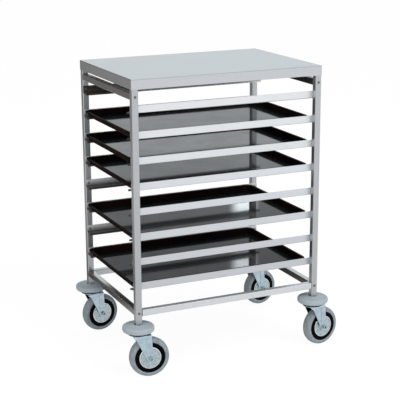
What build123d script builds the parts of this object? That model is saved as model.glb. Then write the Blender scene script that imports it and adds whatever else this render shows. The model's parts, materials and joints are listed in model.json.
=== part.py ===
from build123d import *
import os
from math import cos, radians, sin

os.makedirs("parts", exist_ok=True)

# All sizes are in millimetres. X runs along the long side of the trolley, Y from the front to the
# back and Z up. The floor is at zero, and the origin lies under the middle of the whole trolley.

# Frame tube, square with rounded corners
tube_side = 20
tube_wall = 1.5
tube_corner = 2.5
tube_bore = tube_side - 2 * tube_wall
tube_bore_corner = tube_corner - tube_wall

# Trays: pressed pans with leaning walls and a rolled outer edge
tray_length = 600
tray_width = 400
tray_height = 20
tray_sheet = 1.2
tray_rim = 6
tray_rim_drop = 3
tray_rim_corner = 22
tray_lean = 15
tray_foot_radius = 4
tray_levels = [2, 3, 4, 6, 8]
tray_overhang = 1.5
tray_side_gap = 1.8

# Tray runners: an angle with a small lip turned down at its inner edge
runner_levels = 8
runner_sheet = 1.2
runner_web = 22.5
runner_ledge = 25
runner_lip = 6
runner_bend = 1.5
runner_end_gap = 0.5

# Frame and worktop: the posts stand as far apart as the trays and runners between them need
frame_length = 625
frame_depth = tray_width + 2 * (tray_side_gap + runner_sheet + tube_side)
worktop_height = 915
worktop_sheet = 1.2
worktop_skirt = 30
worktop_slack = 0.3
worktop_corner = 4
worktop_edge = 2
worktop_length = frame_length + 2 * (worktop_sheet + worktop_slack)
worktop_depth = frame_depth + 2 * (worktop_sheet + worktop_slack)
post_top = worktop_height - worktop_sheet

# Fasteners
rivet_radius = 2
rivet_hole_radius = 2.05
rivet_head_radius = 3.6
rivet_head_height = 1
rivet_shank_length = 3.5
screw_radius = 2.9
screw_hole_radius = 3
screw_head_radius = 4.5
screw_head_height = 2.4
screw_head_chamfer = 0.8
screw_bite = 10

# Castor: heights above the floor
wheel_radius = 62.5
wheel_width = 32
axle_height = wheel_radius
castor_trail = 32
leg_plate = 2.5
tyre_clearance = 11
crown_bottom = 2 * wheel_radius + tyre_clearance
crown_top = crown_bottom + leg_plate
race_height = 4.5
race_top = crown_top + race_height
turning_gap = 0.3
flange_bottom = race_top + turning_gap
flange_sheet = 2.7
flange_top = flange_bottom + flange_sheet
bumper_height = 24.5
post_foot = flange_top + bumper_height

# Castor: fitting that is fixed in the post
flange_radius = 32
neck_radius = 13
stem_radius = 8.2
stem_length = 30
stem_top = post_foot + stem_length
stem_chamfer = 1.5
kingpin_radius = 6
kingpin_fit = 0.08
kingpin_head_radius = 11
kingpin_head_height = 3.6

# Castor: bumper disc round the fitting
bumper_radius = 49
bumper_seat_radius = 34
bumper_top_radius = 16
bumper_fit = 0.3
bumper_bore = neck_radius + bumper_fit
bumper_foot_rise = 4.5
bumper_shoulder_drop = 4.5
bumper_round = 6.5

# Castor: fork, a bent plate with a leg on each side of the wheel
leg_inner = 20
leg_outer = leg_inner + leg_plate
fork_bend = 5
crown_front = -21
crown_back = 36
crown_lip = 5
leg_front = -12
leg_shoulder = crown_top - 12.5
leg_back = 38
leg_waist = crown_top - 38.5
boss_radius = 13
race_outer_radius = 30.5
fork_rib_height = 1.6
fork_rib_front = 18
fork_rib_back = 33
fork_rib_top = crown_top - 8.5
fork_rib_tip_radius = 10

# Castor: axle bolt, sleeve and the two thread guards that it clamps
bolt_radius = 4
bolt_hole_radius = 4.1
sleeve_radius = 6
sleeve_fit = 0.08
nut_width = 13
nut_height = 6
bolt_head_height = 5
bolt_stand_out = 2
guard_sheet = 1
guard_radius = 34
guard_rim_width = 3
guard_rim_height = 1
guard_gap = 0.35
guard_play = 0.1
guard_slope = 2

# Castor: wheel centre and tyre
rim_radius = 48
rim_half_width = 15
rim_inner_radius = 30
web_half_width = 6
hub_radius = 13
hub_half_width = 16
tyre_crown = 2
tyre_shoulder_radius = wheel_radius - tyre_crown
tyre_shoulder_half_width = 11
tyre_bulge_radius = rim_radius + 6
tread_arc_radius = (tyre_shoulder_half_width**2 + tyre_crown**2) / (2 * tyre_crown)

# Rails: the gap below the skirt shows daylight over the top end rails
top_rail_gap = 12
top_rail_top = worktop_height - worktop_skirt - top_rail_gap
low_rail_rise = 45.5
low_rail_top = post_foot + low_rail_rise
long_rail_length = frame_length - 2 * tube_side
end_rail_length = frame_depth - 2 * tube_side
end_plug_length = 14

# The runner levels share the height between the worktop and the low rails
runner_drop = 80
runner_rise = 80
runner_top = worktop_height - runner_drop
runner_pitch = (runner_top - low_rail_top - runner_rise) / (runner_levels - 1)
runner_length = frame_length - 2 * runner_end_gap

# How far each castor has swung from pointing along X, as it stands in the picture
swing = {"front_left": -7, "front_right": 10, "back_left": 9, "back_right": 10}

# The castors trail to the right, so the frame stands a little left of the middle of the whole
stem_inset = tube_side / 2
left_reach = bumper_radius - stem_inset
right_swing = radians(swing["front_right"])
tread_reach = (castor_trail + wheel_radius - tread_arc_radius) * cos(right_swing) + tread_arc_radius
right_reach = tread_reach - stem_inset
middle = -(right_reach - left_reach) / 2
left = middle - frame_length / 2
right = middle + frame_length / 2
front = -frame_depth / 2
back = frame_depth / 2
post_x = {"left": left + stem_inset, "right": right - stem_inset}
post_y = {"front": front + stem_inset, "back": back - stem_inset}
inward = {"front": 1, "back": -1}
runner_tops = [runner_top - level * runner_pitch for level in range(runner_levels)]
rivet_heights = [top - runner_web / 2 for top in runner_tops]
end_rail_tops = [top_rail_top, low_rail_top]
screw_heights = [top - tube_side / 2 for top in end_rail_tops]


def save(builder, name):
    builder.part.label = name
    export_step(builder.part, f"parts/{name}.step")


def tube_section(x, y):
    """The square tube's section in the sketch that is open."""
    with Locations((x, y)):
        RectangleRounded(tube_side, tube_side, tube_corner)
        RectangleRounded(tube_bore, tube_bore, tube_bore_corner, mode=Mode.SUBTRACT)


# Worktop: one sheet folded down on all four sides
with BuildPart() as worktop:
    with BuildSketch(Plane.XY.offset(worktop_height)):
        with Locations((middle, 0)):
            RectangleRounded(worktop_length, worktop_depth, worktop_corner)
    extrude(amount=-worktop_skirt)
    fillet(worktop.faces().sort_by(Axis.Z)[-1].edges(), radius=worktop_edge)
    with BuildSketch(Plane.XY.offset(worktop_height - worktop_sheet)):
        with Locations((middle, 0)):
            RectangleRounded(
                worktop_length - 2 * worktop_sheet,
                worktop_depth - 2 * worktop_sheet,
                worktop_corner - worktop_sheet,
            )
    extrude(amount=-worktop_skirt, mode=Mode.SUBTRACT)
save(worktop, "worktop")


# Posts: tubes from the castors to the worktop, drilled for the runners and the end rails
def make_post(side, end):
    x, y, turn = post_x[side], post_y[end], inward[end]
    inner_face = y + turn * tube_side / 2
    outer_face = y - turn * tube_side / 2
    with BuildPart() as post:
        with BuildSketch(Plane.XY.offset(post_foot)):
            tube_section(x, y)
        extrude(amount=post_top - post_foot)
        with Locations(*[Plane((x, inner_face, z), z_dir=(0, turn, 0)) for z in rivet_heights]):
            Hole(rivet_hole_radius, depth=2 * tube_wall)
        with Locations(*[Plane((x, outer_face, z), z_dir=(0, -turn, 0)) for z in screw_heights]):
            Hole(screw_hole_radius, depth=tube_side)
    save(post, f"post_{end}_{side}")


for end in post_y:
    for side in post_x:
        make_post(side, end)


# Long rails: low tubes between the posts at the front and at the back
def make_long_rail(end):
    low_middle = low_rail_top - tube_side / 2
    with BuildPart() as rail:
        with BuildSketch(Plane.YZ.offset(left + tube_side)):
            tube_section(post_y[end], low_middle)
        extrude(amount=long_rail_length)
    save(rail, f"long_rail_{end}")


for end in post_y:
    make_long_rail(end)


# End rails: short tubes at the top and the bottom of each end, with a tapped plug in each end
def make_end_rail(place, side, top):
    rail_middle = top - tube_side / 2
    with BuildPart() as rail:
        with BuildSketch(Plane.XZ.offset(-end_rail_length / 2)):
            with Locations((post_x[side], rail_middle)):
                RectangleRounded(tube_side, tube_side, tube_corner)
        extrude(amount=end_rail_length)
        with BuildSketch(Plane.XZ.offset(-end_rail_length / 2 + end_plug_length)):
            with Locations((post_x[side], rail_middle)):
                RectangleRounded(tube_bore, tube_bore, tube_bore_corner)
        extrude(amount=end_rail_length - 2 * end_plug_length, mode=Mode.SUBTRACT)
        ends = [
            Plane((post_x[side], turn * end_rail_length / 2, rail_middle), z_dir=(0, turn, 0))
            for turn in (-1, 1)
        ]
        with Locations(*ends):
            Hole(screw_hole_radius, depth=end_plug_length)
    save(rail, f"{place}_end_rail_{side}")


for side in post_x:
    make_end_rail("top", side, top_rail_top)
    make_end_rail("low", side, low_rail_top)


# Runners: one folded strip per level on each long side, against the inner faces of the posts
def make_runner(end, level):
    turn = inward[end]
    web_face = post_y[end] + turn * tube_side / 2
    top = runner_tops[level]
    web_line = web_face + turn * runner_sheet / 2
    ledge_line = top - runner_web + runner_sheet / 2
    lip_line = web_face + turn * (runner_sheet + runner_ledge)
    with BuildPart() as runner:
        with BuildSketch(Plane.YZ.offset(left + runner_end_gap)):
            with BuildLine():
                fold = FilletPolyline(
                    (web_line, top),
                    (web_line, ledge_line),
                    (lip_line, ledge_line),
                    (lip_line, ledge_line - runner_lip),
                    radius=runner_bend,
                )
            trace(fold, line_width=runner_sheet)
        extrude(amount=runner_length)
        holes = [
            Plane((x, web_face + turn * runner_sheet, rivet_heights[level]), z_dir=(0, turn, 0))
            for x in post_x.values()
        ]
        with Locations(*holes):
            Hole(rivet_hole_radius, depth=2 * runner_sheet)
    save(runner, f"runner_{end}_{level + 1}")


for end in post_y:
    for level in range(runner_levels):
        make_runner(end, level)


# Rivets: one through each runner into each post, the head on the side of the tray
with BuildPart() as rivet:
    with BuildSketch(Plane.XZ):
        with BuildLine():
            TangentArc((0, rivet_head_height), (rivet_head_radius, 0), tangent=(1, 0))
            Polyline(
                (rivet_head_radius, 0),
                (rivet_radius, 0),
                (rivet_radius, -rivet_shank_length),
                (0, -rivet_shank_length),
                (0, rivet_head_height),
            )
        make_face()
    revolve(axis=Axis.Z)

with BuildPart() as runner_rivets:
    seats = [
        Plane(
            (x, post_y[end] + inward[end] * (tube_side / 2 + runner_sheet), z),
            z_dir=(0, inward[end], 0),
        )
        for end in post_y
        for x in post_x.values()
        for z in rivet_heights
    ]
    with Locations(*seats):
        add(rivet.part)
save(runner_rivets, "runner_rivets")

# Screws: through each post from its outer face into the plugs of the end rails
with BuildPart() as screw:
    with BuildSketch(Plane.XY.offset(-tube_side - screw_bite)):
        Circle(screw_radius)
    extrude(amount=tube_side + screw_bite)
    with BuildSketch(Plane.XY):
        Circle(screw_head_radius)
    extrude(amount=screw_head_height)
    chamfer(screw.edges().group_by(Axis.Z)[-1], length=screw_head_chamfer)

with BuildPart() as rail_screws:
    seats = [
        Plane((x, post_y[end] - inward[end] * tube_side / 2, z), z_dir=(0, -inward[end], 0))
        for end in post_y
        for x in post_x.values()
        for z in screw_heights
    ]
    with Locations(*seats):
        add(screw.part)
save(rail_screws, "rail_screws")


# Trays: each stands on the ledges of a pair of runners
def make_tray(level):
    floor = runner_tops[level - 1] - runner_web + runner_sheet
    wall_top = floor + tray_height - tray_sheet
    mouth_length = tray_length - 2 * tray_rim
    mouth_width = tray_width - 2 * tray_rim
    mouth_corner = tray_rim_corner - tray_rim
    place = (left - tray_overhang + tray_length / 2, 0)
    with BuildPart() as tray:
        with BuildSketch(Plane.XY.offset(wall_top)):
            with Locations(place):
                RectangleRounded(mouth_length, mouth_width, mouth_corner)
        extrude(amount=floor - wall_top, taper=tray_lean)
        fillet(tray.faces().sort_by(Axis.Z)[0].edges(), radius=tray_foot_radius)
        with BuildSketch(Plane.XY.offset(wall_top)):
            with Locations(place):
                RectangleRounded(tray_length, tray_width, tray_rim_corner)
        extrude(amount=tray_sheet)
        with BuildSketch(Plane.XY.offset(wall_top)):
            with Locations(place):
                RectangleRounded(tray_length, tray_width, tray_rim_corner)
                RectangleRounded(
                    tray_length - 2 * tray_sheet,
                    tray_width - 2 * tray_sheet,
                    tray_rim_corner - tray_sheet,
                    mode=Mode.SUBTRACT,
                )
        extrude(amount=-tray_rim_drop)
        with BuildSketch(Plane.XY.offset(floor + tray_height)):
            with Locations(place):
                RectangleRounded(
                    mouth_length - 2 * tray_sheet,
                    mouth_width - 2 * tray_sheet,
                    mouth_corner - tray_sheet,
                )
        extrude(amount=tray_sheet - tray_height, taper=tray_lean, mode=Mode.SUBTRACT)
        inner_floor = tray.faces().filter_by(Axis.Z).sort_by(Axis.Z)[1]
        fillet(inner_floor.edges(), radius=tray_foot_radius - tray_sheet)
    save(tray, f"tray_{level}")


for level in tray_levels:
    make_tray(level)

# The castor's pieces are drawn once, with the stem on the Z axis and the wheel trailing along X.
# Bumper: a soft disc with a rounded edge
with BuildPart() as bumper:
    with BuildSketch(Plane.XZ):
        with BuildLine():
            FilletPolyline(
                (bumper_seat_radius, flange_top),
                (bumper_radius, flange_top + bumper_foot_rise),
                (bumper_radius, post_foot - bumper_shoulder_drop),
                (bumper_top_radius, post_foot),
                radius=bumper_round,
            )
            Polyline(
                (bumper_top_radius, post_foot),
                (bumper_bore, post_foot),
                (bumper_bore, flange_top),
                (bumper_seat_radius, flange_top),
            )
        make_face()
    revolve(axis=Axis.Z)

# Fitting: stem, neck, swivel flange and the kingpin that carries the fork
with BuildPart() as fitting:
    with BuildSketch(Plane.XZ):
        with BuildLine():
            pin_foot = crown_bottom - turning_gap - kingpin_head_height
            Polyline(
                (0, pin_foot),
                (kingpin_head_radius, pin_foot),
                (kingpin_head_radius, pin_foot + kingpin_head_height),
                (kingpin_radius, pin_foot + kingpin_head_height),
                (kingpin_radius, flange_bottom),
                (flange_radius, flange_bottom),
                (flange_radius, flange_top),
                (neck_radius, flange_top),
                (neck_radius, post_foot),
                (stem_radius, post_foot),
                (stem_radius, stem_top - stem_chamfer),
                (stem_radius - stem_chamfer, stem_top),
                (0, stem_top),
                close=True,
            )
        make_face()
    revolve(axis=Axis.Z)

# Fork: a channel bent from plate, cut to its side view, with a pressed rib down each leg
with BuildPart() as fork:
    with BuildSketch(Plane.YZ.offset(crown_front)):
        with BuildLine():
            plate_line = (leg_inner + leg_outer) / 2
            channel = FilletPolyline(
                (-plate_line, 0),
                (-plate_line, crown_top - leg_plate / 2),
                (plate_line, crown_top - leg_plate / 2),
                (plate_line, 0),
                radius=fork_bend,
            )
        trace(channel, line_width=leg_plate)
    extrude(amount=castor_trail + boss_radius - crown_front)
    with BuildSketch(Plane.XZ.offset(-leg_outer)):
        with BuildLine():
            Polyline(
                (crown_front, crown_top),
                (crown_back, crown_top),
                (leg_back, leg_waist),
                (castor_trail + boss_radius, axle_height),
                (castor_trail - boss_radius, axle_height),
                (leg_front, leg_shoulder),
                (crown_front, crown_top - crown_lip),
                close=True,
            )
        make_face()
        with Locations((castor_trail, axle_height)):
            Circle(boss_radius)
    extrude(amount=2 * leg_outer, mode=Mode.INTERSECT)
    with BuildSketch(Plane.XY.offset(crown_top)):
        Circle(race_outer_radius)
    extrude(amount=race_top - crown_top)
    for turn in (-1, 1):
        with BuildSketch(Plane((0, turn * leg_outer, 0), x_dir=(1, 0, 0), z_dir=(0, -1, 0))):
            with BuildLine():
                Polyline(
                    (fork_rib_front, fork_rib_top),
                    (fork_rib_back, fork_rib_top),
                    (castor_trail + fork_rib_tip_radius, axle_height),
                    (castor_trail - fork_rib_tip_radius, axle_height),
                    close=True,
                )
            make_face()
            with Locations((castor_trail, axle_height)):
                Circle(fork_rib_tip_radius)
        extrude(amount=-turn * fork_rib_height)
    with Locations((0, 0, race_top)):
        Hole(kingpin_radius + kingpin_fit)
    with Locations(Plane((castor_trail, -leg_outer - fork_rib_height, axle_height), z_dir=(0, -1, 0))):
        Hole(bolt_hole_radius)

# Wheel: everything turns about a line along Y through the axle
axle_plane = Plane((castor_trail, 0, axle_height), x_dir=(0, 0, 1), z_dir=(1, 0, 0))
axle_line = Axis((castor_trail, 0, axle_height), (0, 1, 0))

# Tyre: solid rubber with a rounded tread
with BuildPart() as tyre:
    with BuildSketch(axle_plane):
        with BuildLine():
            Line((rim_radius, -rim_half_width), (rim_radius, rim_half_width))
            ThreePointArc(
                (rim_radius, rim_half_width),
                (tyre_bulge_radius, wheel_width / 2),
                (tyre_shoulder_radius, tyre_shoulder_half_width),
            )
            ThreePointArc(
                (tyre_shoulder_radius, tyre_shoulder_half_width),
                (wheel_radius, 0),
                (tyre_shoulder_radius, -tyre_shoulder_half_width),
            )
            ThreePointArc(
                (tyre_shoulder_radius, -tyre_shoulder_half_width),
                (tyre_bulge_radius, -wheel_width / 2),
                (rim_radius, -rim_half_width),
            )
        make_face()
    revolve(axis=axle_line)

# Wheel centre: rim, thin web and hub
with BuildPart() as wheel_centre:
    with BuildSketch(axle_plane):
        with Locations(((rim_radius + rim_inner_radius) / 2, 0)):
            Rectangle(rim_radius - rim_inner_radius, 2 * rim_half_width)
        with Locations(((rim_inner_radius + hub_radius) / 2, 0)):
            Rectangle(rim_inner_radius - hub_radius, 2 * web_half_width)
        hub_bore = sleeve_radius + sleeve_fit
        with Locations(((hub_radius + hub_bore) / 2, 0)):
            Rectangle(hub_radius - hub_bore, 2 * hub_half_width)
    revolve(axis=axle_line)

# Axle: bolt with its sleeve, nut and the two thread guards that cover the sides of the wheel
with BuildPart() as axle:
    guard_seat = leg_inner - guard_sheet
    sleeve_end = guard_seat - guard_play
    rib_face = leg_outer + fork_rib_height
    with BuildSketch(axle_plane):
        with BuildLine():
            Polyline(
                (0, -rib_face - nut_height - bolt_stand_out),
                (bolt_radius, -rib_face - nut_height - bolt_stand_out),
                (bolt_radius, -sleeve_end),
                (sleeve_radius, -sleeve_end),
                (sleeve_radius, sleeve_end),
                (bolt_radius, sleeve_end),
                (bolt_radius, rib_face),
                (0, rib_face),
                close=True,
            )
        make_face()
    revolve(axis=axle_line)
    with BuildSketch(Plane((castor_trail, rib_face, axle_height), z_dir=(0, 1, 0))):
        RegularPolygon(nut_width / 2, 6, major_radius=False)
    extrude(amount=bolt_head_height)
    with BuildSketch(Plane((castor_trail, -rib_face, axle_height), z_dir=(0, -1, 0))):
        RegularPolygon(nut_width / 2, 6, major_radius=False)
        Circle(bolt_hole_radius, mode=Mode.SUBTRACT)
    extrude(amount=nut_height)

with BuildPart() as guard:
    with BuildSketch(axle_plane):
        with BuildLine():
            edge = rim_half_width + guard_gap + guard_sheet / 2
            crest = edge + guard_rim_height
            seat = guard_seat + guard_sheet / 2
            guard_fold = Polyline(
                (bolt_hole_radius, seat),
                (hub_radius, seat),
                (hub_radius + guard_slope, edge),
                (guard_radius - 2 * guard_rim_width, edge),
                (guard_radius - guard_rim_width, crest),
                (guard_radius, edge),
            )
        trace(guard_fold, line_width=guard_sheet)
    revolve(axis=axle_line)

with BuildPart() as axle_set:
    add(axle.part)
    add(guard.part)
    add(mirror(guard.part, about=Plane.XZ))

castor_pieces = {
    "bumper": bumper,
    "fitting": fitting,
    "fork": fork,
    "axle": axle_set,
    "wheel_centre": wheel_centre,
    "tyre": tyre,
}

# Castors: a copy of each piece under each post, swung as it stands in the picture
for end in post_y:
    for side in post_x:
        corner = f"{end}_{side}"
        spot = Location((post_x[side], post_y[end], 0), (0, 0, swing[corner]))
        for kind, piece in castor_pieces.items():
            with BuildPart() as placed:
                with Locations(spot):
                    add(piece.part)
            save(placed, f"{kind}_{corner}")
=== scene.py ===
"""The looks of a bakery tray trolley: finishes, small fittings, studio and camera."""

from __future__ import annotations

import json
import logging
import math
from collections.abc import Iterator
from contextlib import contextmanager
from dataclasses import dataclass, field
from enum import Enum
from functools import partial

import bpy
from mathutils import Matrix, Quaternion, Vector


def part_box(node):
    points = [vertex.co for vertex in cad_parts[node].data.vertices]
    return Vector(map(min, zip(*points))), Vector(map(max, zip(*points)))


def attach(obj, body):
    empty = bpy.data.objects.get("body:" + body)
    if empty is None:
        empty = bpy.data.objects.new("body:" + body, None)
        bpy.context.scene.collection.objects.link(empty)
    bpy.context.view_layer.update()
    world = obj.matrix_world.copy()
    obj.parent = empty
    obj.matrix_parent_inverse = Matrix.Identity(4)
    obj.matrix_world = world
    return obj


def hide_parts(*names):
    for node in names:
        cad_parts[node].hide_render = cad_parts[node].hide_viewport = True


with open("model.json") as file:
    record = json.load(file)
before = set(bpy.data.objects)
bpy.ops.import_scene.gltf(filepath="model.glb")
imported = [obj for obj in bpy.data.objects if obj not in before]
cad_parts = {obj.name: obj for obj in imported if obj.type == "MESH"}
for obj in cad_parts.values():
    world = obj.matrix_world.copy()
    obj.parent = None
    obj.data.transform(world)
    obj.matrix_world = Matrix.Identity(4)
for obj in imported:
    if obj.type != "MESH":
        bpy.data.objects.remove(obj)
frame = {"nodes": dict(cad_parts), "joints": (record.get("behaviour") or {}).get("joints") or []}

log = logging.getLogger("tray_trolley")

MILLIMETRE = 0.001
SHEET = 1.2 * MILLIMETRE
ABOVE_ALL = 10.0
WHITE = (1.0, 1.0, 1.0)

Object = bpy.types.Object
Colour = tuple[float, float, float]
Span = tuple[float, float]
Triple = tuple[float, float, float]


class Grain(Enum):
    """The direction in which a steel surface was ground, as stretch factors along X, Y and Z."""

    ALONG_X = (0.03, 1.0, 1.0)
    ALONG_Y = (1.0, 0.03, 1.0)
    ALONG_Z = (1.0, 1.0, 0.03)
    EVEN = (1.0, 1.0, 1.0)


def scaled(tone: Colour, factor: float | Colour) -> Colour:
    """A darker or lighter tone, held below white; the factor may be one for each channel."""
    factors = factor if isinstance(factor, tuple) else (factor,) * len(tone)
    return tuple(min(1.0, part * more) for part, more in zip(tone, factors))


# Shader maths


class Signal:
    """A shader output that can be used in Python arithmetic."""

    def __init__(self, graph: Graph, socket: bpy.types.NodeSocket) -> None:
        """Keeps the graph that new maths nodes go into and the output it stands for."""
        self.graph = graph
        self.socket = socket

    def _math(self, operation: str, *values: Signal | float) -> Signal:
        """Adds one maths node with its inputs in order."""
        return self.graph.node("ShaderNodeMath", {"operation": operation}, dict(enumerate(values)))

    def __add__(self, other: Signal | float) -> Signal:
        """Adds a signal or a number."""
        return self._math("ADD", self, other)

    def __radd__(self, other: float) -> Signal:
        """Adds to a number on the left."""
        return self._math("ADD", other, self)

    def __sub__(self, other: Signal | float) -> Signal:
        """Takes away a signal or a number."""
        return self._math("SUBTRACT", self, other)

    def __rsub__(self, other: float) -> Signal:
        """Is taken away from a number on the left."""
        return self._math("SUBTRACT", other, self)

    def __mul__(self, other: Signal | float) -> Signal:
        """Multiplies by a signal or a number."""
        return self._math("MULTIPLY", self, other)

    def __rmul__(self, other: float) -> Signal:
        """Multiplies a number on the left."""
        return self._math("MULTIPLY", other, self)

    def __abs__(self) -> Signal:
        """The signal without its sign."""
        return self._math("ABSOLUTE", self)

    def most(self, other: Signal | float) -> Signal:
        """The larger of the two."""
        return self._math("MAXIMUM", self, other)

    def rise(self, low: float, high: float) -> Signal:
        """Goes smoothly from 0 at low to 1 at high."""
        inputs = {"Value": self, "From Min": low, "From Max": high}
        return self.graph.node("ShaderNodeMapRange", {"interpolation_type": "SMOOTHSTEP"}, inputs)


class Graph:
    """The node tree of one material or world, with a single way to add nodes."""

    def __init__(self, tree: bpy.types.NodeTree) -> None:
        """Takes a node tree and empties it."""
        self.tree = tree
        tree.nodes.clear()

    def node(
        self,
        kind: str,
        settings: dict[str, object] | None = None,
        inputs: dict[str | int, object] | None = None,
        output: str | int = 0,
    ) -> Signal:
        """Adds a node, sets it up and feeds its sockets.

        Args:
            kind: The node's type.
            settings: Its own settings.
            inputs: A value or a signal for each socket, by name or by number.
            output: The output to return, by name or by number.

        Returns:
            The chosen output.
        """
        made = self.tree.nodes.new(kind)
        for name, value in (settings or {}).items():
            setattr(made, name, value)
        for name, value in (inputs or {}).items():
            socket = made.inputs[name]
            if isinstance(value, Signal):
                self.tree.links.new(value.socket, socket)
            elif isinstance(value, tuple) and len(value) == 3 and socket.type == "RGBA":
                socket.default_value = (*value, 1.0)
            else:
                socket.default_value = value
        if not made.outputs:
            return Signal(self, None)
        return Signal(self, made.outputs[output])

    def principled(self, inputs: dict[str, object]) -> Signal:
        """Adds the shader that every finish uses."""
        return self.node("ShaderNodeBsdfPrincipled", {}, inputs)

    def ray(self, kind: str) -> Signal:
        """1 on rays of one kind and 0 on all others."""
        return self.node("ShaderNodeLightPath", output=kind)

    def length(self, point: Signal) -> Signal:
        """How far a point lies from zero."""
        measure = {"operation": "LENGTH"}
        return self.node("ShaderNodeVectorMath", measure, {0: point}, output="Value")

    def place(self) -> Signal:
        """The point on the surface, in metres, in the object's own space."""
        return self.node("ShaderNodeTexCoord", output="Object")

    def mapped(
        self, centre: Vector = Vector(), turn: float = 0.0, stretch: Triple = (1.0, 1.0, 1.0)
    ) -> Signal:
        """The point seen from a centre, turned about Z by an angle in radians and stretched."""
        moved = self.node(
            "ShaderNodeMapping",
            {"vector_type": "TEXTURE"},
            {"Vector": self.place(), "Location": tuple(centre), "Rotation": (0.0, 0.0, turn)},
        )
        return self.node("ShaderNodeMapping", {}, {"Vector": moved, "Scale": stretch})

    def around(self, centre: Vector, turn: float) -> tuple[Signal, Signal]:
        """How far a point lies from a wheel's axis, and how far along that axis.

        Args:
            centre: The middle of the wheel.
            turn: The angle of the castor in radians.

        Returns:
            The distance from the axis and the distance along it, in metres.
        """
        point = self.mapped(centre, turn)
        flat = self.node(
            "ShaderNodeVectorMath", {"operation": "MULTIPLY"}, {0: point, 1: (1.0, 0.0, 1.0)}
        )
        return self.length(flat), self.axis(point, "Y")

    def axis(self, point: Signal, letter: str) -> Signal:
        """One coordinate of a point: X, Y or Z."""
        return self.node("ShaderNodeSeparateXYZ", {}, {0: point}, output=letter)

    def noise(self, point: Signal, scale: float, detail: float = 3.0) -> Signal:
        """Soft noise from 0 to 1; the scale is its fineness per metre, detail its finer layers."""
        inputs = {"Vector": point, "Scale": scale, "Detail": detail}
        return self.node("ShaderNodeTexNoise", {}, inputs)

    def mix(self, share: Signal | float, first: object, second: object) -> Signal:
        """Mixes two colours; a share of 0 gives the first and 1 the second."""
        inputs = {0: share, 6: first, 7: second}
        return self.node("ShaderNodeMix", {"data_type": "RGBA"}, inputs, output=2)

    def bump(self, height: Signal, depth: float, strength: float = 1.0) -> Signal:
        """Turns a height from 0 to 1 into a bent normal; the depth is what 1 is in metres."""
        inputs = {"Height": height, "Distance": depth, "Strength": strength}
        return self.node("ShaderNodeBump", {}, inputs)

    def surface(self, shader: Signal, output_kind: str = "ShaderNodeOutputMaterial") -> None:
        """Connects the final shader to an output node."""
        self.node(output_kind, {}, {"Surface": shader})


# Finishes


def new_material(name: str) -> tuple[bpy.types.Material, Graph]:
    """Makes a material with an empty node tree.

    Args:
        name: The material's name.

    Returns:
        The material and the graph of its nodes.
    """
    made = bpy.data.materials.new(name)
    made.use_nodes = True
    return made, Graph(made.node_tree)


@dataclass(frozen=True)
class Finish:
    """What every finish has: a name and a way to make its material."""

    name: str

    def material(self) -> bpy.types.Material:
        """Makes the material, or finds it if it was made before.

        Returns:
            The material.
        """
        found = bpy.data.materials.get(self.name)
        if found:
            return found
        made, graph = new_material(self.name)
        graph.surface(self.shader(graph))
        return made

    def shader(self, graph: Graph) -> Signal:
        """Builds the shader; each finish has its own."""
        raise NotImplementedError


@dataclass(frozen=True)
class GroundSteel(Finish):
    """Stainless steel with a fine satin grind, soft smears and slightly uneven gloss."""

    tone: Colour = (0.62, 0.63, 0.64)
    grain: Grain = Grain.ALONG_X
    gloss: float = 0.28
    scatter: float = 0.12
    sheen: float = 0.5
    streak: float = 0.06
    smear: float = 0.05
    streak_scale: float = 2600.0
    band_scale: float = 420.0
    smear_scale: float = 9.0
    contrast: float = 2.5
    darkest: float = 0.80
    lightest: float = 1.16
    band_gloss: float = 0.06
    smear_gloss: float = 0.10
    line_depth: float = 0.01 * MILLIMETRE

    def shader(self, graph: Graph) -> Signal:
        """Makes metal whose colour and gloss follow long streaks and large faint smears.

        Args:
            graph: Where the nodes go.

        Returns:
            The shader.
        """
        line = graph.mapped(stretch=self.grain.value)
        streaks = graph.noise(line, self.streak_scale, detail=2.0)
        bands = graph.noise(line, self.band_scale)
        smears = graph.noise(graph.place(), self.smear_scale, detail=4.0)
        shade = (streaks - 0.5) * self.streak + (bands - 0.5) * self.streak
        shade = shade + (smears - 0.5) * self.smear
        dark, light = scaled(self.tone, self.darkest), scaled(self.tone, self.lightest)
        colour, metal = self.wear_and_painted_shading(graph, graph.mix(shade * self.contrast + 0.5, dark, light))
        rough = self.gloss + (bands - 0.5) * self.band_gloss + (smears - 0.5) * self.smear_gloss
        inputs = {
            "Base Color": colour,
            "Metallic": metal,
            "Roughness": rough,
            "Specular IOR Level": self.sheen,
            "Normal": graph.bump(bands, self.line_depth, strength=0.2),
        }
        return graph.principled(inputs)

    def wear_and_painted_shading(self, graph: Graph, colour: Signal) -> tuple[Signal, Signal | float]:
        """Gives the colour and the metal share; steels that paint light and shade onto some faces
        change them.
        """
        return colour, 1.0 - self.scatter


@dataclass(frozen=True)
class TopSteel(GroundSteel):
    """Worktop sheet with a line of painted shade along its folded edge and painted light on a
    slightly brighter skirt.
    """

    top_height: float = 0.0
    fold_line_shade_tone: Colour = (0.36, 0.37, 0.40)
    fold_line_shade_share: float = 0.5
    fold_line_shade_drop: Span = (0.2 * MILLIMETRE, 0.9 * MILLIMETRE)
    skirt_light_tone: Colour = (0.66, 0.68, 0.71)
    skirt_light_share: float = 0.75
    skirt_drop: Span = (1.6 * MILLIMETRE, 3.0 * MILLIMETRE)

    def wear_and_painted_shading(self, graph: Graph, colour: Signal) -> tuple[Signal, Signal | float]:
        """Paints light on the skirt and a line of painted shade along the fold above it.

        Args:
            graph: Where the nodes go.
            colour: The colour of the fresh grind.

        Returns:
            The colour and the metal share.
        """
        below = self.top_height - graph.axis(graph.place(), "Z")
        # Painted light brightens the skirt; a line of painted shade darkens the fold above it.
        skirt = below.rise(*self.skirt_drop)
        line = below.rise(*self.fold_line_shade_drop) * (1.0 - skirt)
        colour = graph.mix(skirt * self.skirt_light_share, colour, self.skirt_light_tone)
        return graph.mix(line * self.fold_line_shade_share, colour, self.fold_line_shade_tone), 1.0 - self.scatter


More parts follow.
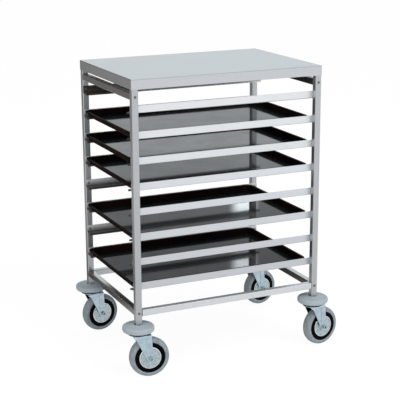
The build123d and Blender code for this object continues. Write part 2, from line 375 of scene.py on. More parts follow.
@dataclass(frozen=True)
class SidedSteel(GroundSteel):
    """Steel whose side towards the middle of the trolley is duller and painted in its own tone:
    painted shade on the end rails, painted light on most runners.
    """

    across: str = "X"
    middle: float = 0.0
    inner_reach: float = 0.0
    inner_tone: Colour = (0.05, 0.045, 0.04)
    inner_scatter: float = 0.7
    inner_edge: Span = (0.3 * MILLIMETRE, 0.7 * MILLIMETRE)
    cap_height: float = ABOVE_ALL
    shade_cap_edge: float = 0.4 * MILLIMETRE

    def inside(self, graph: Graph) -> Signal:
        """1 on the side towards the middle and 0 elsewhere."""
        reach = abs(graph.axis(graph.place(), self.across) - self.middle)
        return 1.0 - reach.rise(*(self.inner_reach + edge for edge in self.inner_edge))

    def wear_and_painted_shading(self, graph: Graph, colour: Signal) -> tuple[Signal, Signal | float]:
        """Dulls the inner side and paints it in the inner tone, and paints shade on what lies above
        the cap height.

        Args:
            graph: Where the nodes go.
            colour: The colour of the fresh grind.

        Returns:
            The colour and the metal share.
        """
        height = graph.axis(graph.place(), "Z")
        # Painted shade on the top face above the cap height; the inner side takes the inner tone,
        # which is painted shade on the end rails and painted light on most runners.
        cap = height.rise(self.cap_height, self.cap_height + self.shade_cap_edge)
        inside = self.inside(graph).most(cap)
        metal = 1.0 - self.scatter + inside * (self.scatter - self.inner_scatter)
        return graph.mix(inside, colour, self.inner_tone), metal


@dataclass(frozen=True)
class RunnerSteel(SidedSteel):
    """Bright folded runner; its inner side fades downwards in painted shade to a ledge with a dark
    line of painted shade and a lip in painted shade.
    """

    ledge_height: float = 0.0
    web_top: float = 0.0
    foot_shade_tone: Colour = (0.10, 0.095, 0.09)
    ledge_shade_tone: Colour = (0.02, 0.018, 0.015)
    lip_shade_tone: Colour = (0.10, 0.09, 0.08)
    lip_far_shading_tone: Colour = (0.10, 0.09, 0.08)
    lip_highlight_span: Span = (-0.22, -0.12)
    foot_shade_drop: float = 4 * MILLIMETRE
    ledge_edge: float = 0.4 * MILLIMETRE

    def wear_and_painted_shading(self, graph: Graph, colour: Signal) -> tuple[Signal, Signal | float]:
        """Fades the inner side downwards in painted shade, paints shade on the ledge and its lip,
        and past a span along X gives the lip its far tone, a painted highlight on the top level.

        Args:
            graph: Where the nodes go.
            colour: The colour of the fresh grind.

        Returns:
            The colour and the metal share.
        """
        colour, metal = super().wear_and_painted_shading(graph, colour)
        height = graph.axis(graph.place(), "Z")
        inside = self.inside(graph)
        # Painted shade: the inner side darkens downwards towards the ledge.
        foot = 1.0 - height.rise(self.ledge_height - self.foot_shade_drop, self.web_top)
        colour = graph.mix(inside * foot, colour, self.foot_shade_tone)
        # Painted shade: a dark line on the ledge.
        above = 1.0 - height.rise(self.ledge_height, self.ledge_height + self.ledge_edge)
        below = height.rise(self.ledge_height - SHEET, self.ledge_height - 0.6 * SHEET)
        ledge = above * below
        # The lip is painted shade; past this span along X it takes its far tone, a painted
        # highlight on the top level.
        far = graph.axis(graph.place(), "X").rise(*self.lip_highlight_span)
        lip = graph.mix(far, self.lip_shade_tone, self.lip_far_shading_tone)
        colour = graph.mix(inside * (1.0 - below), colour, lip)
        return graph.mix(ledge, colour, self.ledge_shade_tone), metal * (1.0 - ledge)


@dataclass(frozen=True)
class CastorFinish(Finish):
    """A finish drawn round a point of one castor and turned as far as that has swung."""

    centre: Vector = field(default_factory=Vector)
    swing: float = 0.0


@dataclass(frozen=True)
class ZincPlate(CastorFinish):
    """Bright zinc plating with a cool tint, cloudy patches and painted shade on the leg sides at
    the wheel.
    """

    tone: Colour = (0.54, 0.68, 0.77)
    cool: float = 0.86
    warm: Colour = (1.12, 1.10, 1.08)
    leg_shade_tone: Colour = (0.03, 0.032, 0.035)
    gloss: float = 0.22
    cloud_gloss: float = 0.12
    speck_gloss: float = 0.04
    inner_half_width: float = 0.0
    side_edge: float = 0.6 * MILLIMETRE
    crown_height: float = 135.5 * MILLIMETRE
    crown_edge: float = 0.4 * MILLIMETRE
    cloud_scale: float = 70.0
    cloud_range: Span = (0.25, 0.75)
    speck_scale: float = 900.0
    speck_depth: float = 0.05 * MILLIMETRE

    def shader(self, graph: Graph) -> Signal:
        """Makes metal with clouds of cooler and warmer plating, and painted shade between a fork's
        legs.

        Args:
            graph: Where the nodes go.

        Returns:
            The shader.
        """
        point = graph.mapped(self.centre, self.swing)
        clouds = graph.noise(point, self.cloud_scale, detail=6.0)
        specks = graph.noise(point, self.speck_scale, detail=2.0)
        cool, warm = scaled(self.tone, self.cool), scaled(self.tone, self.warm)
        colour = graph.mix(clouds.rise(*self.cloud_range), cool, warm)
        side = abs(graph.axis(point, "Y"))
        inside = 1.0 - side.rise(self.inner_half_width, self.inner_half_width + self.side_edge)
        height = graph.axis(point, "Z")
        crown = height.rise(self.crown_height - self.crown_edge, self.crown_height)
        # Painted shade: between the legs and below the crown the zinc is painted near black.
        colour = graph.mix(inside * (1.0 - crown), colour, self.leg_shade_tone)
        rough = self.gloss + (clouds - 0.5) * self.cloud_gloss + (specks - 0.5) * self.speck_gloss
        inputs = {
            "Base Color": colour,
            "Metallic": 1.0,
            "Roughness": rough,
            "Normal": graph.bump(specks, self.speck_depth, strength=0.4),
        }
        return graph.principled(inputs)


@dataclass(frozen=True)
class GuardZinc(CastorFinish):
    """Zinc of the thread guards: a speckled dish, a smoother rolled rim with a painted highlight,
    and rings of painted shade inside the rim and round the fasteners.
    """

    dish_tone: Colour = (0.50, 0.60, 0.63)
    darkest: float = 0.62
    lightest: float = 1.45
    rim_highlight_tone: Colour = (0.86, 0.90, 0.93)
    rim_fold_shade_tone: Colour = (0.22, 0.25, 0.26)
    rim_inner: float = 31.0 * MILLIMETRE
    rim_edge: float = 0.8 * MILLIMETRE
    fold_width: float = 1.4 * MILLIMETRE
    fastener_reach: float = 7.6 * MILLIMETRE
    fastener_edge: Span = (0.4 * MILLIMETRE, 0.9 * MILLIMETRE)
    fleck_scale: float = 340.0
    fleck_share: float = 0.6
    fleck_depth: float = 0.12 * MILLIMETRE
    cloud_scale: float = 90.0
    cloud_gloss: float = 0.1
    gloss: float = 0.36
    rim_gloss: float = 0.12

    def shader(self, graph: Graph) -> Signal:
        """Makes metal whose tone and speckle change with the distance from the axle.

        Args:
            graph: Where the nodes go.

        Returns:
            The shader.
        """
        distance, _ = graph.around(self.centre, self.swing)
        point = graph.mapped(self.centre, self.swing)
        cells = {"Vector": point, "Scale": self.fleck_scale}
        flecks = graph.node("ShaderNodeTexVoronoi", {}, cells, output="Color")
        fleck = graph.axis(flecks, "X")
        clouds = graph.noise(point, self.cloud_scale, detail=4.0)
        share = fleck * self.fleck_share + clouds * (1.0 - self.fleck_share)
        tone = self.dish_tone
        dish = graph.mix(share, scaled(tone, self.darkest), scaled(tone, self.lightest))
        # Painted highlight: the rolled rim is painted bright all round.
        rim = distance.rise(self.rim_inner, self.rim_inner + self.rim_edge)
        # Painted shade: dark rings in the fold inside the rim and round the fasteners.
        fold = distance.rise(self.rim_inner - self.fold_width, self.rim_inner) * (1.0 - rim)
        edge = abs(distance - self.fastener_reach)
        fold = fold.most(1.0 - edge.rise(*self.fastener_edge))
        dish = graph.mix(fold, dish, self.rim_fold_shade_tone)
        rough = self.gloss - rim * self.rim_gloss + (clouds - 0.5) * self.cloud_gloss
        inputs = {
            "Base Color": graph.mix(rim, dish, self.rim_highlight_tone),
            "Metallic": 1.0,
            "Roughness": rough,
            "Normal": graph.bump(fleck * (1.0 - rim), self.fleck_depth, strength=0.6),
        }
        return graph.principled(inputs)


@dataclass(frozen=True)
class TrayCoating(Finish):
    """Dark tray coating: a smooth pan floor that mirrors, between dull brown-black walls."""

    floor_height: float = 0.0
    floor_polish: float = 0.6
    wall_tone: Colour = (0.0080, 0.0043, 0.0040)
    floor_tone: Colour = (0.006, 0.0075, 0.008)
    coat_tint: Colour = (0.90, 0.98, 1.0)
    wall_gloss: float = 0.5
    wall_sheen: float = 0.012
    floor_gloss: float = 0.075
    floor_edge: Span = (0.1 * MILLIMETRE, 0.4 * MILLIMETRE)
    rubbed_wall: Colour = (2.6, 2.2, 2.0)
    rubbed_floor: float = 1.8
    haze_scale: float = 9.0
    haze_range: Span = (0.35, 0.75)
    haze_gloss: float = 0.16
    haze_polish: float = 0.5
    scratch_scale: float = 500.0
    scratch_polish: float = 0.35
    scratch_depth: float = 0.02 * MILLIMETRE

    def shader(self, graph: Graph) -> Signal:
        """Makes dull walls, and a polished coat on the floor only, thinner where it is rubbed.

        Args:
            graph: Where the nodes go.

        Returns:
            The shader.
        """
        point = graph.place()
        height = graph.axis(point, "Z")
        start, end = self.floor_edge
        floor = 1.0 - height.rise(self.floor_height + start, self.floor_height + end)
        haze = graph.noise(point, self.haze_scale, detail=5.0)
        scratches = graph.noise(graph.mapped(stretch=(0.05, 1.0, 1.0)), self.scratch_scale)
        rubbed = haze.rise(*self.haze_range)
        wall = graph.mix(rubbed, self.wall_tone, scaled(self.wall_tone, self.rubbed_wall))
        pan = graph.mix(rubbed, self.floor_tone, scaled(self.floor_tone, self.rubbed_floor))
        wear_and_painted_shading = (haze - 0.5) * self.haze_polish + (scratches - 0.5) * self.scratch_polish
        inputs = {
            "Base Color": graph.mix(floor, wall, pan),
            "Roughness": self.wall_gloss + (haze - 0.5) * self.haze_gloss,
            "Specular IOR Level": self.wall_sheen,
            "Coat Weight": floor * (self.floor_polish * (1.0 + wear_and_painted_shading)),
            "Coat Roughness": self.floor_gloss,
            "Coat Tint": self.coat_tint,
            "Normal": graph.bump(scratches, self.scratch_depth, strength=0.2),
        }
        return graph.principled(inputs)


@dataclass(frozen=True)
class MouldedPlastic(Finish):
    """Moulded plastic with a faint orange-peel skin and light scuffs."""

    tone: Colour = (0.40, 0.47, 0.52)
    gloss: float = 0.42
    scuff_gloss: float = 0.16
    sheen: float = 0.5
    darkest: float = 0.82
    lightest: float = 1.28
    skin_scale: float = 700.0
    skin_gloss: float = 0.06
    skin_depth: float = 0.06 * MILLIMETRE
    rub_scale: float = 75.0
    rub_range: Span = (0.35, 0.72)

    def shader(self, graph: Graph) -> Signal:
        """Makes plastic with a soft skin texture and paler rubbed patches.

        Args:
            graph: Where the nodes go.

        Returns:
            The shader.
        """
        skin = graph.noise(graph.place(), self.skin_scale, detail=2.0)
        rubbed = graph.noise(graph.place(), self.rub_scale, detail=5.0)
        dark, pale = scaled(self.tone, self.darkest), scaled(self.tone, self.lightest)
        rough = self.gloss + (rubbed - 0.5) * self.scuff_gloss + (skin - 0.5) * self.skin_gloss
        inputs = {
            "Base Color": graph.mix(rubbed.rise(*self.rub_range), dark, pale),
            "Roughness": rough,
            "Specular IOR Level": self.sheen,
            "Normal": graph.bump(skin, self.skin_depth, strength=0.5),
        }
        return graph.principled(inputs)


@dataclass(frozen=True)
class GreyRubber(CastorFinish):
    """Grey non-marking rubber with a mould line round the tread and dust in its fine grain."""

    clean_tone: Colour = (0.286, 0.3256, 0.352)
    dusty_tone: Colour = (0.374, 0.4244, 0.458)
    line_half_width: float = 0.35 * MILLIMETRE
    step_radius: float = 57.6 * MILLIMETRE
    step_share: float = 0.5
    grain_scale: float = 1400.0
    grain_share: float = 0.3
    grain_gloss: float = 0.1
    dust_scale: float = 90.0
    dust_range: Span = (0.3, 0.75)
    dust_gloss: float = 0.2
    gloss: float = 0.55
    sheen: float = 0.35
    relief: float = 0.25 * MILLIMETRE

    def shader(self, graph: Graph) -> Signal:
        """Makes matt rubber with a fine grain, dust, a mould line and a fine step on each side.

        Args:
            graph: Where the nodes go.

        Returns:
            The shader.
        """
        distance, across = graph.around(self.centre, self.swing)
        line = 1.0 - abs(across).rise(0.0, self.line_half_width)
        step = 1.0 - abs(distance - self.step_radius).rise(0.0, 2.0 * self.line_half_width)
        grain = graph.noise(graph.place(), self.grain_scale, detail=2.0)
        dust = graph.noise(graph.place(), self.dust_scale, detail=7.0)
        dusty = dust.rise(*self.dust_range) * (1.0 - step * self.step_share)
        height = grain * self.grain_share + line - step * self.step_share
        rough = self.gloss + (dust - 0.5) * self.dust_gloss + (grain - 0.5) * self.grain_gloss
        inputs = {
            "Base Color": graph.mix(dusty, self.clean_tone, self.dusty_tone),
            "Roughness": rough,
            "Specular IOR Level": self.sheen,
            "Normal": graph.bump(height, self.relief, strength=0.6),
        }
        return graph.principled(inputs)


# Modelling helpers


def select_only(obj: Object) -> None:
    """Selects one object and makes it active.

    Args:
        obj: The object.
    """
    bpy.ops.object.select_all(action="DESELECT")
    obj.select_set(True)
    bpy.context.view_layer.objects.active = obj


@contextmanager
def editing(obj: Object) -> Iterator[None]:
    """Edit mode on one object, left again at the end.

    Args:
        obj: The object to shape.

    Yields:
        Nothing.
    """
    select_only(obj)
    bpy.ops.object.mode_set(mode="EDIT")
    try:
        yield
    finally:
        bpy.ops.object.mode_set(mode="OBJECT")


def close_rotation(obj: Object) -> None:
    """Merges what a full spin doubled and turns all faces outwards."""
    with editing(obj):
        bpy.ops.mesh.select_all(action="SELECT")
        bpy.ops.mesh.remove_doubles(threshold=0.01 * MILLIMETRE)
        bpy.ops.mesh.normals_make_consistent(inside=False)


def settle(obj: Object, name: str, smooth_angle: float = 30.0) -> Object:
    """Names a finished piece, puts its place into its mesh and smooths its round faces.

    Args:
        obj: The piece.
        name: Its name.
        smooth_angle: Edges flatter than this many degrees are smoothed.

    Returns:
        The piece.
    """
    select_only(obj)
    bpy.ops.object.transform_apply(location=True, rotation=True, scale=True)
    bpy.ops.object.shade_smooth_by_angle(angle=math.radians(smooth_angle))
    obj.name = name
    obj.data.name = name
    return obj


def copy_to(piece: Object, name: str, place: Matrix) -> Object:
    """Copies a finished piece with its own mesh to another place.

    Args:
        piece: The piece to copy.
        name: The copy's name.
        place: Where the copy goes.

    Returns:
        The copy.
    """
    mesh = piece.data.copy()
    mesh.transform(place)
    mesh.name = name
    made = bpy.data.objects.new(name, mesh)
    bpy.context.scene.collection.objects.link(made)
    return made


def dress(obj: Object, finish: Finish) -> None:
    """Gives an object one finish all over.

    Args:
        obj: The object.
        finish: What it gets.
    """
    made = finish.material()
    if not obj.material_slots:
        obj.data.materials.append(made)
    for slot in obj.material_slots:
        slot.material = made


# Sub-assemblies


@dataclass
class SteelFrame:
    """Worktop, posts, rails and runners: the welded and riveted steel work."""

    posts: Finish = GroundSteel("post_satin", (0.55, 0.57, 0.59), Grain.ALONG_Z, 0.33)
    long_rails: Finish = GroundSteel("long_rail_satin", (0.80, 0.82, 0.84), gloss=0.5, scatter=0.3)
    # The weld beads at the rail ends are dark.
    welds: Finish = GroundSteel("weld_dark", (0.10, 0.10, 0.10), Grain.EVEN, 0.5, 0.6)
    worktop_tone: Colour = (0.57, 0.59, 0.605)
    sheet_gloss: float = 0.34
    # Painted shade on the inner sides of the low end rails.
    low_rail_inner_tone: Colour = (0.11, 0.10, 0.09)
    levels: int = 8
    runner_tone: Colour = (0.70, 0.73, 0.77)
    # Painted shade: each lower level of runners is painted a little darker.
    runner_level_light: float = 1.24
    runner_level_light_step: float = 0.04
    runner_scatter: float = 0.3
    runner_inner_scatter: float = 0.85
    runner_sheen: float = 0.1
    # Painted light on the runners' inner sides; painted shade on the inner side of the top level.
    runner_inner_tone: Colour = (0.92, 0.94, 0.96)
    runner_shaded_tone: Colour = (0.06, 0.052, 0.048)
    runner_lip: float = 6 * MILLIMETRE
    fasteners: Finish = GroundSteel("fastener_dull", (0.22, 0.22, 0.22), Grain.EVEN, 0.4)
    tube_side: float = 20 * MILLIMETRE
    bead: float = 1.0 * MILLIMETRE
    screw_head_radius: float = 4.5 * MILLIMETRE
    screw_head_height: float = 2.4 * MILLIMETRE
    screw_rounding: float = 0.62
    socket_radius: float = 1.75 * MILLIMETRE
    socket_lift: float = 0.95
    socket_edge: float = 0.08 * MILLIMETRE

    def dress_nodes(self, nodes: dict[str, Object]) -> None:
        """Gives each steel node its finish.

        Args:
            nodes: All solids by name.
        """
        low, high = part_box("worktop")
        rail_low, rail_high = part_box("top_end_rail_right")
        middle = (low.x + high.x) / 2
        # The end rails get painted shade on their inner sides, and the top ones also on their top
        # faces under the worktop.
        end_rail = partial(
            SidedSteel,
            tone=(0.50, 0.50, 0.49),
            grain=Grain.ALONG_Y,
            gloss=0.22,
            scatter=0.03,
            middle=middle,
            inner_reach=rail_low.x - middle,
        )
        choice = {
            "worktop": TopSteel(
                "worktop_satin", self.worktop_tone, gloss=self.sheet_gloss, top_height=high.z
            ),
            "post_": self.posts,
            "long_rail_": self.long_rails,
            "low_end_rail_": end_rail("low_end_rail_satin", inner_tone=self.low_rail_inner_tone),
            "top_end_rail_": end_rail(
                "top_end_rail_satin",
                sheen=self.runner_sheen,
                inner_scatter=0.9,
                cap_height=rail_high.z - 0.6 * MILLIMETRE,
            ),
            "runner_rivets": self.fasteners,
            "rail_screws": self.fasteners,
        }
        for level in range(1, self.levels + 1):
            choice[f"runner_front_{level}"] = choice[f"runner_back_{level}"] = self._runner(level)
        for name, node in nodes.items():
            for start, finish in choice.items():
                if name.startswith(start):
                    dress(node, finish)
                    log.info("%s dressed as %s", name, finish.name)

    def _runner(self, level: int) -> Finish:
        """Makes the finish for both runners of one level.

        Args:
            level: The level, counted from the top.

        Returns:
            The finish; lower levels are painted darker, and the top level has painted shade from
            the worktop.
        """
        low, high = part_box(f"runner_back_{level}")
        # Painted shade: each lower level is a little darker.
        lift = self.runner_level_light - self.runner_level_light_step * (level - 1)
        # Painted shade on the top level's inner side under the worktop, with a painted highlight on
        # the far part of its lip; painted light on the inner sides of the others.
        shaded = level == 1
        return RunnerSteel(
            f"runner_bright_{level}",
            scaled(self.runner_tone, lift),
            gloss=self.sheet_gloss,
            scatter=self.runner_scatter,
            sheen=self.runner_sheen,
            across="Y",
            inner_reach=high.y - SHEET,
            inner_tone=self.runner_shaded_tone if shaded else self.runner_inner_tone,
            inner_scatter=self.runner_inner_scatter,
            ledge_height=low.z + self.runner_lip,
            web_top=high.z,
            lip_far_shading_tone=self.runner_inner_tone if shaded else RunnerSteel.lip_shade_tone,
        )

    def _screw_head(self) -> Object:
        """Models one button head with a hex socket, standing on the origin.

        Returns:
            The head.
        """
        rise = self.screw_head_height
        bpy.ops.mesh.primitive_cylinder_add(
            vertices=32, radius=self.screw_head_radius, depth=rise, location=(0.0, 0.0, rise / 2)
        )
        head = bpy.context.object
        with editing(head):
            bpy.ops.mesh.select_all(action="DESELECT")
        for face in head.data.polygons:
            face.select = face.normal.z > 0.9
        with editing(head):
            bpy.ops.mesh.bevel(
                offset=rise * self.screw_rounding, segments=5, profile=0.5, affect="EDGES"
            )
        spot = (0.0, 0.0, rise * self.socket_lift)
        bpy.ops.mesh.primitive_cylinder_add(
            vertices=6, radius=self.socket_radius, depth=rise, location=spot
        )
        socket = bpy.context.object
        with editing(socket):
            bpy.ops.mesh.select_all(action="SELECT")
            bpy.ops.mesh.bevel(offset=self.socket_edge, segments=1, affect="EDGES")
        select_only(head)
        cut = head.modifiers.new("socket", "BOOLEAN")
        cut.object = socket
        cut.operation = "DIFFERENCE"
        bpy.ops.object.modifier_apply(modifier=cut.name)
        bpy.data.objects.remove(socket)
        return head

    def build_screws(self) -> None:
        """Sets a screw head over each screw of the posts, all eight as one piece."""
        master = self._screw_head()
        copies = []
        for end, outward in (("front", -1), ("back", 1)):
            turn = Matrix.Rotation(math.radians(-90 * outward), 4, "X")
            for side in ("left", "right"):
                low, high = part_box(f"post_{end}_{side}")
                face = low.y if outward < 0 else high.y
                for place in ("top", "low"):
                    rail_low, rail_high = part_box(f"{place}_end_rail_{side}")
                    spot = Vector(((low.x + high.x) / 2, face, (rail_low.z + rail_high.z) / 2))
                    copies.append(copy_to(master, "screw", Matrix.Translation(spot) @ turn))
        bpy.data.objects.remove(master)
        bpy.ops.object.select_all(action="DESELECT")
        for piece in copies:
            piece.select_set(True)
        bpy.context.view_layer.objects.active = copies[0]
        bpy.ops.object.join()
        heads = settle(bpy.context.object, "rail_screw_heads", smooth_angle=35.0)
        dress(heads, self.fasteners)
        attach(heads, "frame")
        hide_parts("rail_screws")
        log.info("%s made", heads.name)

    def build_welds(self) -> None:
        """Lays a small weld bead round each end of the long rails."""
        for end in ("front", "back"):
            low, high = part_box(f"long_rail_{end}")
            for side, x in (("left", low.x), ("right", high.x)):
                middle = Vector((x, (low.y + high.y) / 2, (low.z + high.z) / 2))
                self._weld(f"weld_{end}_{side}", middle)

    def _weld(self, name: str, middle: Vector) -> None:
        """Models one bead as a square ring that hugs the tube.

        Args:
            name: The bead's name.
            middle: The middle of the rail's end face.
        """
        reach = self.tube_side / 2 * math.sqrt(2)
        bpy.ops.mesh.primitive_torus_add(
            align="WORLD",
            location=middle,
            rotation=(0.0, math.radians(90), 0.0),
            major_segments=4,
            minor_segments=8,
            major_radius=reach,
            minor_radius=self.bead,
        )
        ring = bpy.context.object
        with editing(ring):
            bpy.ops.mesh.select_all(action="SELECT")
            bpy.ops.transform.rotate(
                value=math.radians(45), orient_axis="X", center_override=tuple(middle)
            )
            bpy.ops.mesh.subdivide(number_cuts=3, smoothness=0.0)
            bpy.ops.mesh.vertices_smooth(factor=0.35, repeat=1)
        settle(ring, name, smooth_angle=60.0)
        dress(ring, self.welds)
        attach(ring, "frame")
        log.info("%s laid", name)


@dataclass
class TrayStack:
    """The baking trays on their runners."""

    polish: tuple[tuple[str, float], ...] = (
        ("tray_2", 0.70),
        ("tray_3", 0.80),
        ("tray_4", 0.65),
        ("tray_6", 0.45),
        ("tray_8", 0.35),
    )

    def dress_nodes(self, nodes: dict[str, Object]) -> None:
        """Gives each tray its coating.

        Args:
            nodes: All solids by name.
        """
        for name, polish in self.polish:
            low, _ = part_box(name)
            coating = TrayCoating(f"coating_{name}", low.z + SHEET, polish)
            dress(nodes[name], coating)
            log.info("%s dressed as %s", name, coating.name)


@dataclass
class CastorPlace:
    """Where one castor stands and how far it has swung."""

    corner: str
    stem: Vector
    swing: float

    def matrix(self) -> Matrix:
        """The move from a castor drawn at zero to this one."""
        return Matrix.Translation(self.stem) @ Matrix.Rotation(self.swing, 4, "Z")


@dataclass
class CastorSet:
    """The four swivel castors with their bumper discs."""

    trail: float = 32 * MILLIMETRE
    axle_height: float = 62.5 * MILLIMETRE
    leg_inner: float = 20 * MILLIMETRE
    shade_ring_inner_radius: float = 31.2 * MILLIMETRE
    shade_ring_outer_radius: float = 33.6 * MILLIMETRE
    shade_ring_bottom: float = 141.0 * MILLIMETRE
    seal_top: float = 145.8 * MILLIMETRE
    shade_ring_rounding: float = 0.5 * MILLIMETRE
    spin_steps: int = 96
    bumper: Finish = MouldedPlastic("bumper_plastic", (0.415, 0.50, 0.585), 0.45)
    nylon: Finish = MouldedPlastic("black_nylon", (0.003, 0.003, 0.0035), 0.6, sheen=0.03)
    # Painted shade: a black ring that stands in for the shadow under each bumper.
    shade_ring: Finish = MouldedPlastic("seal_black", (0.003, 0.003, 0.003), 0.6, sheen=0.03)
    # Painted shade: the flange under each bumper is made black to stand in for its shadow.
    head: Finish = MouldedPlastic("flange_shade_black", (0.004, 0.004, 0.004), 0.6, sheen=0.05)
    places: list[CastorPlace] = field(default_factory=list)

    def find_places(self, joints: list[dict]) -> None:
        """Reads where the castors stand from the posts, and their swing from the wheel joints.

        Args:
            joints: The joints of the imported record.
        """
        for joint in joints:
            if not joint["name"].endswith("_roll"):
                continue
            corner = joint["name"].removeprefix("wheel_").removesuffix("_roll")
            low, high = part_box(f"post_{corner}")
            stem = Vector(((low.x + high.x) / 2, (low.y + high.y) / 2, 0.0))
            axis = joint["axis"]
            self.places.append(CastorPlace(corner, stem, math.atan2(-axis[0], axis[1])))

    def dress_nodes(self, nodes: dict[str, Object]) -> None:
        """Gives each castor node its finish.

        Args:
            nodes: All solids by name.
        """
        for place in self.places:
            corner = place.corner
            wheel = place.matrix() @ Vector((self.trail, 0.0, self.axle_height))
            plate = ZincPlate(
                f"fork_zinc_{corner}", place.stem, place.swing, inner_half_width=self.leg_inner
            )
            finishes = {
                "bumper": self.bumper,
                # Painted shade: the flange is dressed black.
                "fitting": self.head,
                "fork": plate,
                "axle": GuardZinc(f"guard_zinc_{corner}", wheel, place.swing),
                "wheel_centre": self.nylon,
                "tyre": GreyRubber(f"grey_rubber_{corner}", wheel, place.swing),
            }
            for kind, finish in finishes.items():
                dress(nodes[f"{kind}_{corner}"], finish)
                log.info("%s_%s dressed as %s", kind, corner, finish.name)

    def _spin_shade_ring(self) -> Object:
        """Spins a section with rounded outer corners into a ring round the upright axis.

        Returns:
            The ring of a castor that stands at zero.
        """
        height = self.seal_top - self.shade_ring_bottom
        width = self.shade_ring_outer_radius - self.shade_ring_inner_radius
        radius = (self.shade_ring_inner_radius + self.shade_ring_outer_radius) / 2
        middle = Vector((radius, 0.0, (self.shade_ring_bottom + self.seal_top) / 2))
        turn = Matrix(((0.0, width, 0.0), (0.0, 0.0, 1.0), (height, 0.0, 0.0)))
        upright = (0.0, 0.0, 1.0)
        bpy.ops.mesh.primitive_plane_add(size=1.0, location=(0.0, 0.0, 0.0))
        section = bpy.context.object
        section.matrix_world = Matrix.Translation(middle) @ turn.to_4x4()
        select_only(section)
        bpy.ops.object.transform_apply(location=True, rotation=True, scale=True)
        with editing(section):
            bpy.ops.mesh.select_all(action="SELECT")
            bpy.ops.mesh.delete(type="ONLY_FACE")
        for vertex in section.data.vertices:
            vertex.select = vertex.co.x > middle.x
        with editing(section):
            bpy.ops.mesh.bevel(
                affect="VERTICES", offset=self.shade_ring_rounding, segments=7, profile=0.5
            )
            bpy.ops.mesh.select_all(action="SELECT")
            bpy.ops.mesh.spin(
                steps=self.spin_steps, angle=math.tau, center=(0.0, 0.0, middle.z), axis=upright
            )
        close_rotation(section)
        return settle(section, "shade_ring_master")

    def build_shade_rings(self) -> None:
        """Makes the black ring between each castor's flange and fork, a dark piece that stands in
        for the shadow under the bumper.
        """
        master = self._spin_shade_ring()
        for place in self.places:
            piece = copy_to(master, f"seal_{place.corner}", place.matrix())
            dress(piece, self.shade_ring)
            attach(piece, "frame")
            log.info("%s made", piece.name)
        bpy.data.objects.remove(master)


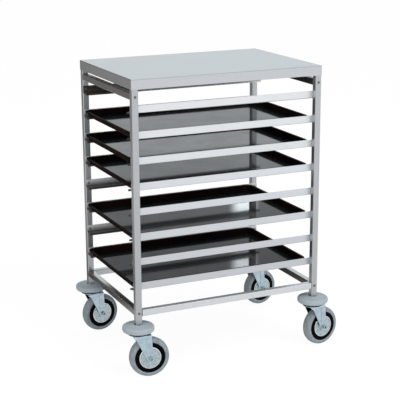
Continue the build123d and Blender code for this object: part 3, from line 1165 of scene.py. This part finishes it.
@dataclass
class Studio:
    """Pale floor, white surroundings, soft lamps and the camera."""

    target: Vector = field(default_factory=lambda: Vector((-0.0199, 0.0, 0.4715)))
    azimuth: float = -24.63
    elevation: float = 14.8
    roll: float = -0.28
    distance: float = 3.804
    lens: float = 106.47
    sensor_width: float = 36.0
    ambient: float = 0.5
    mirrored_tone: Colour = (0.93, 0.98, 1.0)
    sideways: Span = (0.91, 0.415)
    wall_shade: float = 0.10
    wall_tone: Colour = (1.0, 0.94, 0.86)
    wall_depth: Span = (0.0, 0.2)
    wall_side: Span = (0.30, 0.62)
    wall_top: Span = (0.35, 0.65)
    floor_size: float = 60.0
    floor_matt: Colour = (0.9, 0.9, 0.9)
    floor_white: float = 1.08
    floor_share: float = 0.86
    near_glow: float = 0.80
    near_steps: tuple[Triple, ...] = ((0.18, 0.8, 3.2),)
    patch_glow: float = 0.03
    patch_steps: tuple[Triple, ...] = ((0.42, 1.0, 1.9), (-0.28, 2.7, 3.4))
    patch_tone: Colour = (1.0, 0.94, 0.88)
    patch_depth: Span = (0.15, 0.5)
    patch_side: Span = (0.30, 0.65)
    patch_spread: float = 0.35
    strip_low: Triple = (0.520, 0.9, 0.575)
    strip_high: Triple = (0.670, 0.9, 0.755)
    strip_edge: float = 0.055
    strip_tone: Colour = (0.9, 0.97, 1.0)
    strip_power: float = 8.0

    def build(self) -> None:
        """Makes the whole studio."""
        self._world()
        self._floor()
        self._lamp("key_lamp", Vector((1.2, -3.0, 3.0)), size=2.2, watts=60.0)
        self._lamp("side_lamp", Vector((-2.6, -2.2, 2.0)), size=2.0, watts=20.0)
        self._light_strip()
        self._camera()
        bpy.context.scene.view_settings.view_transform = "Standard"
        log.info("studio ready")

    def _world(self) -> None:
        """Lights softly and looks white; the steel mirrors a darker wall behind the left side."""
        world = bpy.data.worlds.new("studio_world")
        world.use_nodes = True
        graph = Graph(world.node_tree)
        seen, shown = graph.ray("Is Camera Ray"), self._shown(graph)
        heading = graph.place()
        aside, depth = self._beside(graph, heading)
        behind = depth.rise(*self.wall_depth) * (1.0 - aside.rise(*self.wall_side)) * (1.0 - seen)
        behind = behind * (1.0 - graph.axis(heading, "Z").rise(*self.wall_top))
        mirrored = 1.0 - behind * (1.0 - self.wall_shade)
        strength = self.ambient + shown * (mirrored - self.ambient)
        tint = graph.mix(shown * (1.0 - seen), WHITE, self.mirrored_tone)
        tint = graph.mix(behind, tint, self.wall_tone)
        light = graph.node("ShaderNodeBackground", {}, {"Color": tint, "Strength": strength})
        graph.surface(light, "ShaderNodeOutputWorld")
        bpy.context.scene.world = world

    def _beside(self, graph: Graph, point: Signal) -> tuple[Signal, Signal]:
        """How far a point lies beside the camera's line of sight, and how far back."""
        across, depth = graph.axis(point, "X"), graph.axis(point, "Y")
        return abs(self.sideways[0] * across + self.sideways[1] * depth), depth

    @staticmethod
    def _stepped(value: float, distance: Signal, steps: tuple[Triple, ...]) -> Signal:
        """Adds each step's change to a value, where the distance goes from its start to its end."""
        for change, start, end in steps:
            value = value + change * distance.rise(start, end)
        return value

    @staticmethod
    def _shown(graph: Graph) -> Signal:
        """1 where the camera, a reflection or a clear piece sees the surface, and 0 elsewhere."""
        seen, mirrored = graph.ray("Is Camera Ray"), graph.ray("Is Glossy Ray")
        return seen.most(mirrored).most(graph.ray("Is Transmission Ray"))

    def _floor(self) -> None:
        """Lays a pale floor, white to the camera, which the steel mirrors darker at its left."""
        bpy.ops.mesh.primitive_plane_add(size=self.floor_size, location=(0.0, 0.0, 0.0))
        floor = bpy.context.object
        floor.name = "studio_floor"
        made, graph = new_material("studio_floor")
        matt = graph.node("ShaderNodeBsdfDiffuse", {}, {"Color": self.floor_matt})
        seen = graph.ray("Is Camera Ray")
        point = graph.place()
        aside, depth = self._beside(graph, point)
        away = graph.length(point)
        near = self._stepped(self.near_glow, away, self.near_steps)
        dark = self._stepped(self.patch_glow, away, self.patch_steps)
        spread = aside - self.patch_spread * away
        behind = depth.rise(*self.patch_depth) * (1.0 - spread.rise(*self.patch_side))
        mirrored = near + behind * (dark - near)
        glow = seen * self.floor_white + (1.0 - seen) * mirrored
        tint = graph.mix(behind * (1.0 - seen), WHITE, self.patch_tone)
        white = graph.node("ShaderNodeEmission", {}, {"Color": tint, "Strength": glow})
        share = self._shown(graph) * self.floor_share
        graph.surface(graph.node("ShaderNodeMixShader", {}, {0: share, 1: matt, 2: white}))
        floor.data.materials.append(made)

    def _light_strip(self) -> None:
        """Stands a small soft light behind the trolley that only shows in the polished pans."""
        low, high = Vector(self.strip_low), Vector(self.strip_high)
        bpy.ops.mesh.primitive_plane_add(
            size=1.0, location=(low + high) / 2, rotation=(math.radians(90), 0.0, 0.0)
        )
        strip = bpy.context.object
        strip.scale = (high.x - low.x, high.z - low.z, 1.0)
        select_only(strip)
        bpy.ops.object.transform_apply(location=True, rotation=True, scale=True)
        strip.name = "studio_strip"
        for kind in ("camera", "diffuse", "shadow", "transmission"):
            setattr(strip, f"visible_{kind}", False)
        made, graph = new_material("studio_strip")
        point = graph.place()
        across, up = graph.axis(point, "X"), graph.axis(point, "Z")
        soft = self.strip_edge
        inside = across.rise(low.x, low.x + soft) * (1.0 - across.rise(high.x - soft, high.x))
        inside = inside * up.rise(low.z, low.z + soft) * (1.0 - up.rise(high.z - soft, high.z))
        shine = {"Color": self.strip_tone, "Strength": self.strip_power}
        light = graph.node("ShaderNodeEmission", {}, shine)
        clear = graph.node("ShaderNodeBsdfTransparent")
        graph.surface(graph.node("ShaderNodeMixShader", {}, {0: inside, 1: clear, 2: light}))
        strip.data.materials.append(made)

    def _lamp(self, name: str, place: Vector, size: float, watts: float) -> None:
        """Hangs one large soft lamp that looks at the trolley.

        Args:
            name: The lamp's name.
            place: Where it hangs.
            size: The side of its square.
            watts: Its power.
        """
        data = bpy.data.lights.new(name, "AREA")
        data.size = size
        data.energy = watts
        lamp = bpy.data.objects.new(name, data)
        lamp.location = place
        lamp.visible_glossy = False
        lamp.rotation_euler = (self.target - place).to_track_quat("-Z", "Y").to_euler()
        bpy.context.scene.collection.objects.link(lamp)

    def _camera(self) -> None:
        """Places the camera at the photograph's viewing angle."""
        data = bpy.data.cameras.new("camera")
        data.lens = self.lens
        data.sensor_width = self.sensor_width
        camera = bpy.data.objects.new("camera", data)
        turn, lift = math.radians(self.azimuth), math.radians(self.elevation)
        back = Vector(
            (math.sin(turn) * math.cos(lift), -math.cos(turn) * math.cos(lift), math.sin(lift))
        )
        camera.location = self.target + back * self.distance
        camera.rotation_mode = "QUATERNION"
        tilt = Quaternion((0.0, 0.0, 1.0), math.radians(self.roll))
        camera.rotation_quaternion = (-back).to_track_quat("-Z", "Y") @ tilt
        bpy.context.scene.collection.objects.link(camera)
        bpy.context.scene.camera = camera


def main() -> None:
    """Dresses the solids, adds the small fittings and builds the studio."""
    logging.basicConfig(level=logging.INFO, format="%(name)s: %(message)s")
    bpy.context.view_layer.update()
    nodes = frame["nodes"]
    steel = SteelFrame()
    steel.dress_nodes(nodes)
    steel.build_screws()
    steel.build_welds()
    TrayStack().dress_nodes(nodes)
    castors = CastorSet()
    castors.find_places(frame["joints"])
    castors.dress_nodes(nodes)
    castors.build_shade_rings()
    Studio().build()
    bpy.context.view_layer.update()


if __name__ == "__main__":
    main()
